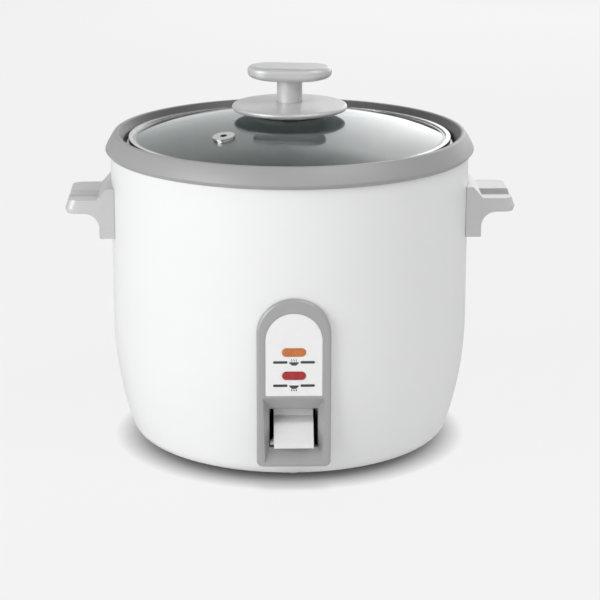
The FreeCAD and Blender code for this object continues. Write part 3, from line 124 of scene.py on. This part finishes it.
class Finish:
    """A node material, with short ways to add the detail that a real surface shows."""

    def __init__(self, name, **values):
        self.material = bpy.data.materials.new(name)
        self.material.use_nodes = True
        self.tree = self.material.node_tree
        self.shader = self.tree.nodes["Principled BSDF"]
        self.place = self.tree.nodes.new("ShaderNodeTexCoord").outputs["Object"]
        self.normal = None
        for socket, value in values.items():
            self.shader.inputs[socket.replace("_", " ")].default_value = value

    def node(self, kind, **settings):
        made = self.tree.nodes.new("ShaderNode" + kind)
        for name, value in settings.items():
            setattr(made, name, value)
        return made

    def link(self, output, target):
        self.tree.links.new(output, target)

    def noise(self, scale, detail=3.0):
        """Cloudy noise, with the number of features per metre as its scale."""
        noise = self.node("TexNoise")
        noise.inputs["Scale"].default_value = scale
        noise.inputs["Detail"].default_value = detail
        self.link(self.place, noise.inputs["Vector"])
        return noise.outputs["Fac"]

    def rings(self, scale):
        """Fine turned rings round the upright axis."""
        waves = self.node("TexWave", wave_type="RINGS", rings_direction="Z")
        waves.inputs["Scale"].default_value = scale
        waves.inputs["Distortion"].default_value = 0.4
        waves.inputs["Detail"].default_value = 2.0
        self.link(self.place, waves.inputs["Vector"])
        return waves.outputs["Fac"]

    def distance_from_axis(self):
        flat = self.node("Mapping")
        flat.inputs["Scale"].default_value = (1, 1, 0)
        self.link(self.place, flat.inputs["Vector"])
        length = self.node("VectorMath", operation="LENGTH")
        self.link(flat.outputs["Vector"], length.inputs[0])
        return length.outputs["Value"]

    def spread(self, factor, low, high, start=0.0, finish=1.0):
        """The factor's span from start to finish, turned into a span from low to high."""
        spread = self.node("MapRange")
        spread.inputs["From Min"].default_value = start
        spread.inputs["From Max"].default_value = finish
        spread.inputs["To Min"].default_value = low
        spread.inputs["To Max"].default_value = high
        self.link(factor, spread.inputs["Value"])
        return spread.outputs["Result"]

    def ramp(self, factor, low, high):
        """A colour that wanders between two colours."""
        ramp = self.node("ValToRGB")
        first, last = ramp.color_ramp.elements
        first.position = 0.25
        last.position = 0.75
        first.color = (*low, 1)
        last.color = (*high, 1)
        self.link(factor, ramp.inputs["Fac"])
        return ramp.outputs["Color"]

    def colour(self, factor, low, high):
        self.link(self.ramp(factor, low, high), self.shader.inputs["Base Color"])

    def roughness(self, factor, low, high):
        self.link(self.spread(factor, low, high), self.shader.inputs["Roughness"])

    def soft_edges(self, radius):
        """Rounds the look of sharp moulded edges."""
        bevel = self.node("Bevel", samples=4)
        bevel.inputs["Radius"].default_value = radius
        self.normal = bevel.outputs["Normal"]
        self.link(self.normal, self.shader.inputs["Normal"])

    def bump(self, height, strength, depth):
        bump = self.node("Bump")
        bump.inputs["Strength"].default_value = strength
        bump.inputs["Distance"].default_value = depth
        self.link(height, bump.inputs["Height"])
        if self.normal is not None:
            self.link(self.normal, bump.inputs["Normal"])
        self.normal = bump.outputs["Normal"]
        self.link(self.normal, self.shader.inputs["Normal"])

    def satin(self, low, high):
        """The sheen, soft edges and fine grain of painted plastic."""
        self.roughness(self.noise(90, detail=1), low, high)
        self.soft_edges(0.0006)
        self.bump(self.noise(2500, detail=1), strength=0.06, depth=0.0001)


def enamel():
    """Glossy white baked enamel with a trace of orange peel."""
    look = Finish("body_paint", Coat_Weight=0.3, Coat_Roughness=0.15, IOR=1.5)
    look.colour(look.noise(5, detail=1), (0.862, 0.865, 0.868), (0.876, 0.878, 0.880))
    look.roughness(look.noise(12, detail=1), 0.28, 0.32)
    look.bump(look.noise(450, detail=1), strength=0.04, depth=0.0002)
    return look.material


def silver_plastic(name, level, metallic=0.3):
    """Satin silver paint on moulded plastic, with fine flake."""
    look = Finish(name, Metallic=metallic, IOR=1.48)
    look.colour(look.noise(5000, detail=1), grey(level * 0.93), grey(level * 1.07))
    look.satin(0.34, 0.42)
    return look.material


def collar_plastic_with_painted_shade(level, inner_shade_level):
    """The silver plastic, with painted shade on the collar's inner slope: a darker grey there, though the
    plastic is the same.
    """
    look = Finish("collar_plastic_with_painted_shade", Metallic=0.1, IOR=1.45)
    flake = look.noise(5000, detail=1)
    painted = look.ramp(flake, grey(level * 0.93), grey(level * 1.07))
    # Painted shade: the inner slope's darker grey stands in for shade, not for bare plastic
    painted_shade = look.ramp(flake, grey(inner_shade_level * 0.85), grey(inner_shade_level * 1.15))
    mix = look.node("Mix", data_type="RGBA")
    side = look.spread(look.distance_from_axis(), 0, 1, SHADE_FADE_FROM, SHADE_FADE_TO)
    look.link(side, mix.inputs["Factor"])
    look.link(painted_shade, mix.inputs["A"])
    look.link(painted, mix.inputs["B"])
    look.link(mix.outputs["Result"], look.shader.inputs["Base Color"])
    look.satin(0.40, 0.48)
    return look.material


def moulded(name, low, high, rough=(0.28, 0.4), edge=0.0004):
    """Plain moulded plastic or rubber."""
    look = Finish(name, IOR=1.48)
    look.colour(look.noise(60), low, high)
    look.roughness(look.noise(200), *rough)
    look.soft_edges(edge)
    look.bump(look.noise(1500, detail=2), strength=0.06, depth=0.0001)
    return look.material


def metal(name, low, high, rough=(0.22, 0.36), turned=None):
    """Bare metal, turned or plain."""
    look = Finish(name, Metallic=1.0)
    look.colour(look.noise(90), low, high)
    look.roughness(look.noise(400), *rough)
    if turned:
        look.bump(look.rings(turned), strength=0.12, depth=0.00005)
    else:
        look.bump(look.noise(2500, detail=2), strength=0.06, depth=0.00005)
    return look.material


def tinted_glass():
    """Greenish glass, with the faint waviness of a pressed lid."""
    look = Finish("tinted_glass", Transmission_Weight=1.0, IOR=1.5, Roughness=0.015)
    look.colour(look.noise(5, detail=1), (0.64, 0.72, 0.71), (0.67, 0.75, 0.74))
    look.bump(look.noise(18, detail=1), strength=0.015, depth=0.0005)
    return look.material


def lens(name, low, high):
    """Coloured indicator lens, unlit."""
    look = Finish(name, IOR=1.49, Coat_Weight=0.4, Coat_Roughness=0.08)
    look.colour(look.noise(500, detail=2), low, high)
    look.roughness(look.noise(300), 0.18, 0.28)
    look.bump(look.noise(900, detail=1), strength=0.08, depth=0.0001)
    return look.material


def paint_nodes():
    """A finish for every CAD node, by its material slot, and painted light on a few nodes: a lighter copy
    of the silver on the handles, knob and flange, and painted shade inside the collar.
    """
    finishes = {
        "body_paint": enamel(),
        "silver_plastic": silver_plastic("silver_plastic", 0.41),
        "tinted_glass": tinted_glass(),
        "steel": metal("steel", grey(0.68), grey(0.78), (0.16, 0.28)),
        "sheet_steel": metal("sheet_steel", grey(0.48), grey(0.60), (0.35, 0.5)),
        "aluminium": metal("aluminium", grey(0.62), grey(0.72), (0.30, 0.42), turned=900),
        "element_sheath": metal("element_sheath", (0.20, 0.18, 0.17), (0.32, 0.29, 0.27), (0.4, 0.6)),
        "heater_spacer": metal("heater_spacer", grey(0.5), grey(0.62)),
        "label_white": moulded("label_white", grey(0.87), grey(0.89), (0.25, 0.32), edge=0.0002),
        "amber_lens": lens("amber_lens", (0.50, 0.13, 0.03), (0.62, 0.19, 0.04)),
        "red_lens": lens("red_lens", (0.34, 0.006, 0.008), (0.44, 0.014, 0.016)),
        "lever_white": silver_plastic("lever_white", 0.78, metallic=0.0),
        "black_plastic": moulded("black_plastic", grey(0.02), grey(0.035), (0.35, 0.5)),
        "plunger_red": moulded("plunger_red", (0.40, 0.03, 0.02), (0.5, 0.05, 0.04)),
        "rubber": moulded("rubber", grey(0.03), grey(0.05), (0.6, 0.8)),
        "ferrite": moulded("ferrite", grey(0.04), grey(0.06), (0.5, 0.7)),
        "carrier_steel": metal("carrier_steel", grey(0.45), grey(0.56)),
        "lamp_glass": lens("lamp_glass", (0.75, 0.70, 0.62), (0.85, 0.80, 0.72)),
        "fuse_brass": metal("fuse_brass", (0.60, 0.44, 0.18), (0.72, 0.55, 0.25)),
        "wire_cover": moulded("wire_cover", (0.30, 0.03, 0.03), (0.38, 0.05, 0.04), (0.4, 0.55)),
    }
    # Painted light: a lighter copy of the same silver plastic, for the handles, knob and flange
    lit_silver_copy = silver_plastic("lit_silver_copy", 0.63)
    lit_and_shaded = {
        "rim_collar": collar_plastic_with_painted_shade(0.37, 0.12),
        "left_handle": lit_silver_copy,
        "right_handle": lit_silver_copy,
        "lid_knob": lit_silver_copy,
        "knob_flange": lit_silver_copy,
    }
    for part in frame["record"]["subparts"]:
        slots = nodes[part["node"]].data.materials
        slots.clear()
        slots.append(lit_and_shaded.get(part["node"], finishes[part["material_slot"]]))


def new_piece(name, shape, material, body):
    mesh = bpy.data.meshes.new(name)
    shape.to_mesh(mesh)
    shape.free()
    mesh.materials.append(material)
    piece = bpy.data.objects.new(name, mesh)
    scene.collection.objects.link(piece)
    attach(piece, body)


def printed(shape, outline, depth):
    """A flat printed mark: an outline in x and z, on a face that looks towards -Y at a depth."""
    back = [shape.verts.new((x, depth, z)) for x, z in outline]
    face = shape.faces.new(back)
    front = bmesh.ops.extrude_face_region(shape, geom=[face])
    raised = [item for item in front["geom"] if isinstance(item, bmesh.types.BMVert)]
    bmesh.ops.translate(shape, verts=raised, vec=(0, -INK_THICK, 0))


def bar_outline(middle, height, half_length, half_height):
    """A bar with round ends."""
    steps = 8
    points = []
    for end in (1, -1):
        for step in range(steps + 1):
            angle = math.radians(-90 + 180 * step / steps)
            across = end * (half_length - half_height + half_height * math.cos(angle))
            points.append((middle + across, height + end * half_height * math.sin(angle)))
    return points


def bowl_outline(middle, rim, half_width, depth):
    """A bowl seen from the side, on a narrow foot."""
    steps = 12
    foot = 0.45 * half_width
    points = [(middle - half_width, rim)]
    for step in range(1, steps):
        angle = math.pi * (1 + step / steps)
        points.append((middle + half_width * math.cos(angle), rim + depth * 0.85 * math.sin(angle)))
    points.append((middle + half_width, rim))
    before_foot = points[3]
    after_foot = points[9]
    foot_top = before_foot[1] - depth * 0.35
    points[3:10] = [
        before_foot,
        (middle - foot, foot_top),
        (middle - foot, rim - depth),
        (middle + foot, rim - depth),
        (middle + foot, foot_top),
        after_foot,
    ]
    return points


def steam_outline(middle, low, height, sway, half_width):
    """A wavy wisp of steam."""
    steps = 12
    line = []
    for step in range(steps + 1):
        share = step / steps
        line.append((middle + sway * math.sin(2 * math.pi * share), low + height * share))
    left = [(x - half_width, z) for x, z in line]
    right = [(x + half_width, z) for x, z in line]
    return left + right[::-1]


def flame_outline(middle, low, height, half_width):
    """A pointed flame, wider below its middle."""
    steps = 16
    points = []
    for step in range(steps):
        angle = 2 * math.pi * step / steps
        share = (1 - math.cos(angle)) / 2
        width = half_width * math.sin(angle) * (1.25 - share * 0.75)
        points.append((middle - width, low + height * share ** 0.9))
    return points


def make_label_print():
    """Plain pictograms under the two lamps: a bowl kept warm, and a bowl over flames."""
    ink = moulded("label_ink", (0.030, 0.040, 0.035), (0.05, 0.06, 0.055), (0.4, 0.5), edge=0.00005)
    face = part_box("panel_label")[0].y
    shape = bmesh.new()
    for node, is_cooking in (("keep_warm_lens", False), ("cooking_lens", True)):
        lens_low, lens_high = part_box(node)
        middle = (lens_low.x + lens_high.x) / 2
        line = lens_low.z - LEGEND_DROP
        for side in (-1, 1):
            bar = bar_outline(middle + side * BAR_OFFSET, line, half_length=0.0041, half_height=0.00075)
            printed(shape, bar, face)
        printed(shape, bowl_outline(middle, line + 0.0001, half_width=0.0028, depth=0.0020), face)
        for offset in (-SYMBOL_GAP, 0, SYMBOL_GAP):
            if is_cooking:
                symbol = flame_outline(middle + offset, line - 0.0033, height=0.0013, half_width=0.0004)
            else:
                symbol = steam_outline(
                    middle + offset, line + 0.0005, height=0.0015, sway=0.00018, half_width=0.00017)
            printed(shape, symbol, face)
    new_piece("label_print", shape, ink, "cooker")


def make_pan_marks():
    """Level marks on the wall of the pan, long and short in turn."""
    ink = metal("mark_grey", grey(0.16), grey(0.24), (0.4, 0.5))
    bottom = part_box("inner_pan")[0].z
    radius = PAN_RADIUS - PAN_WALL - MARK_LIFT
    half_steps = 6
    shape = bmesh.new()
    for mark in range(MARK_COUNT):
        height = bottom + MARK_FIRST + MARK_STEP * mark
        half_turn = LONG_MARK if mark % 2 == 0 else SHORT_MARK
        rows = []
        for step in range(2 * half_steps + 1):
            angle = MARK_MIDDLE + half_turn * (step / half_steps - 1)
            spot = (radius * math.cos(angle), radius * math.sin(angle))
            edges = (height - MARK_HALF_HEIGHT, height + MARK_HALF_HEIGHT)
            rows.append([shape.verts.new((*spot, edge)) for edge in edges])
        for first, second in zip(rows, rows[1:]):
            shape.faces.new((first[0], first[1], second[1], second[0]))
    new_piece("pan_level_marks", shape, ink, "pan")


def make_crosses(name, node, spots, material, body):
    """Flat dark crosses, painted shade for the cross recesses, just under the lowest face of the screws
    of a node.
    """
    arm = CROSS_ARM
    half = CROSS_HALF
    plan = [
        (half, arm), (-half, arm), (-half, half), (-arm, half), (-arm, -half), (-half, -half),
        (-half, -arm), (half, -arm), (half, -half), (arm, -half), (arm, half), (half, half),
    ]
    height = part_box(node)[0].z - CROSS_LIFT
    shape = bmesh.new()
    for across, along in spots:
        shape.faces.new([shape.verts.new((across + x, along + y, height)) for x, y in plan])
    new_piece(name, shape, material, body)


def make_screw_crosses():
    """Dark crosses on the heads of the screws that can be seen: painted shade in place of real cross
    recesses.
    """
    dark = metal("recess_painted_shade", grey(0.05), grey(0.09), (0.5, 0.6))
    base_spots = [(SCREW_CIRCLE, 0), (0, SCREW_CIRCLE), (-SCREW_CIRCLE, 0), (0, -SCREW_CIRCLE)]
    make_crosses("base_screw_crosses", "base_screws", base_spots, dark, "cooker")
    make_crosses("knob_screw_cross", "knob_screw", [(0, 0)], dark, "lid")


def squashed_coil(node, body):
    """A copy of a spring's node, which takes the node's place and hides it."""
    coil = bpy.data.objects.new(node + "_coil", nodes[node].data.copy())
    scene.collection.objects.link(coil)
    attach(coil, body)
    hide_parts(node)
    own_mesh(coil)


def make_springs():
    """Coil springs, as copies of their nodes on the cooker and on the sensor."""
    squashed_coil("sensor_spring", "cooker")
    squashed_coil("magnet_spring", "sensor")


def make_floor():
    """A pale paper floor that stays plain to the camera, with a painted contact shadow, from ambient
    occlusion, where the cooker stands on it.
    """
    mesh = bpy.data.meshes.new("floor")
    shape = bmesh.new()
    bmesh.ops.create_grid(shape, x_segments=8, y_segments=8, size=FLOOR_REACH)
    shape.to_mesh(mesh)
    shape.free()
    floor = bpy.data.objects.new("floor", mesh)
    scene.collection.objects.link(floor)
    look = Finish("floor_paper", Specular_IOR_Level=0.1)
    look.colour(look.noise(30), grey(0.895), grey(0.905))
    look.roughness(look.noise(60), 0.75, 0.85)
    # Painted shadow: ambient occlusion darkens the emission that the camera sees
    contact_occlusion = look.node("AmbientOcclusion", samples=16)
    contact_occlusion.inputs["Distance"].default_value = CONTACT_REACH
    shade = look.node("Gamma")
    shade.inputs["Gamma"].default_value = CONTACT_GAMMA
    look.link(contact_occlusion.outputs["Color"], shade.inputs["Color"])
    plain = look.node("Emission")
    plain.inputs["Strength"].default_value = BACKDROP
    look.link(shade.outputs["Color"], plain.inputs["Color"])
    path = look.node("LightPath")
    share = look.spread(path.outputs["Is Camera Ray"], 0, PLAIN_SHARE)
    mix = look.node("MixShader")
    look.link(share, mix.inputs["Fac"])
    look.link(look.shader.outputs["BSDF"], mix.inputs[1])
    look.link(plain.outputs["Emission"], mix.inputs[2])
    look.link(mix.outputs["Shader"], look.tree.nodes["Material Output"].inputs["Surface"])
    mesh.materials.append(look.material)


class Studio(Finish):
    """The world, as a soft surround, with the plain backdrop that the camera sees."""

    def __init__(self):
        world = bpy.data.worlds.new("studio")
        scene.world = world
        world.use_nodes = True
        self.tree = world.node_tree
        self.tree.nodes.clear()
        self.place = self.tree.nodes.new("ShaderNodeTexCoord").outputs["Generated"]

    def background(self, strength):
        made = self.node("Background")
        self.link(strength, made.inputs["Strength"])
        return made.outputs["Background"]

    def combine(self, operation, first, second):
        made = self.node("Math", operation=operation)
        self.link(first, made.inputs[0])
        self.link(second, made.inputs[1])
        return made.outputs["Value"]

    def choose(self, factor, first, second):
        made = self.node("MixShader")
        self.link(factor, made.inputs["Fac"])
        self.link(first, made.inputs[1])
        self.link(second, made.inputs[2])
        return made.outputs["Shader"]

    def build(self):
        split = self.node("SeparateXYZ")
        self.link(self.place, split.inputs["Vector"])
        across, along, up = (split.outputs[axis] for axis in "XYZ")
        surround = self.background(self.spread(across, 0.43, 0.60, start=-1, finish=1))
        # Mirrors see a backdrop that is brighter behind to the right, and a darker ceiling above it
        behind = self.spread(along, 0.0, 1.0, start=0.5, finish=0.8)
        to_right = self.spread(across, 0.0, 1.9, start=0.01, finish=0.17)
        glow = self.combine("MULTIPLY", to_right, behind)
        wall = self.combine("ADD", self.spread(across, 0.8, 1.0, start=-0.16, finish=0.0), glow)
        ceiling = self.spread(up, 1.0, 0.15, start=0.56, finish=0.70)
        mirrored = self.background(self.combine("MULTIPLY", wall, ceiling))
        backdrop = self.node("Background")
        backdrop.inputs["Color"].default_value = (*grey(BACKDROP), 1)
        path = self.node("LightPath")
        lighting = self.choose(path.outputs["Is Glossy Ray"], surround, mirrored)
        seen = self.combine("MAXIMUM", path.outputs["Is Camera Ray"], path.outputs["Is Transmission Ray"])
        shown = self.choose(seen, lighting, backdrop.outputs["Background"])
        self.link(shown, self.node("OutputWorld").inputs["Surface"])


def make_softbox(name, place, size, power, mirrored=True):
    data = bpy.data.lights.new(name, "AREA")
    data.shape = "RECTANGLE"
    data.size, data.size_y = size
    data.energy = power
    lamp = bpy.data.objects.new(name, data)
    lamp.location = place
    lamp.rotation_euler = (TARGET - Vector(place)).to_track_quat("-Z", "Y").to_euler()
    lamp.visible_camera = False
    lamp.visible_glossy = mirrored
    lamp.visible_transmission = mirrored
    scene.collection.objects.link(lamp)


make_camera()
paint_nodes()
make_label_print()
make_pan_marks()
make_screw_crosses()
make_springs()
make_floor()
Studio().build()
make_softbox("key_left", place=(-1.45, -1.05, 0.75), size=(1.2, 0.9), power=19)
make_softbox("top_right", place=(0.80, -0.75, 1.60), size=(1.2, 1.0), power=10)
make_softbox("back_fill", place=(0.40, 1.80, 0.60), size=(1.2, 1.0), power=6, mirrored=False)
scene.view_settings.view_transform = "Standard"
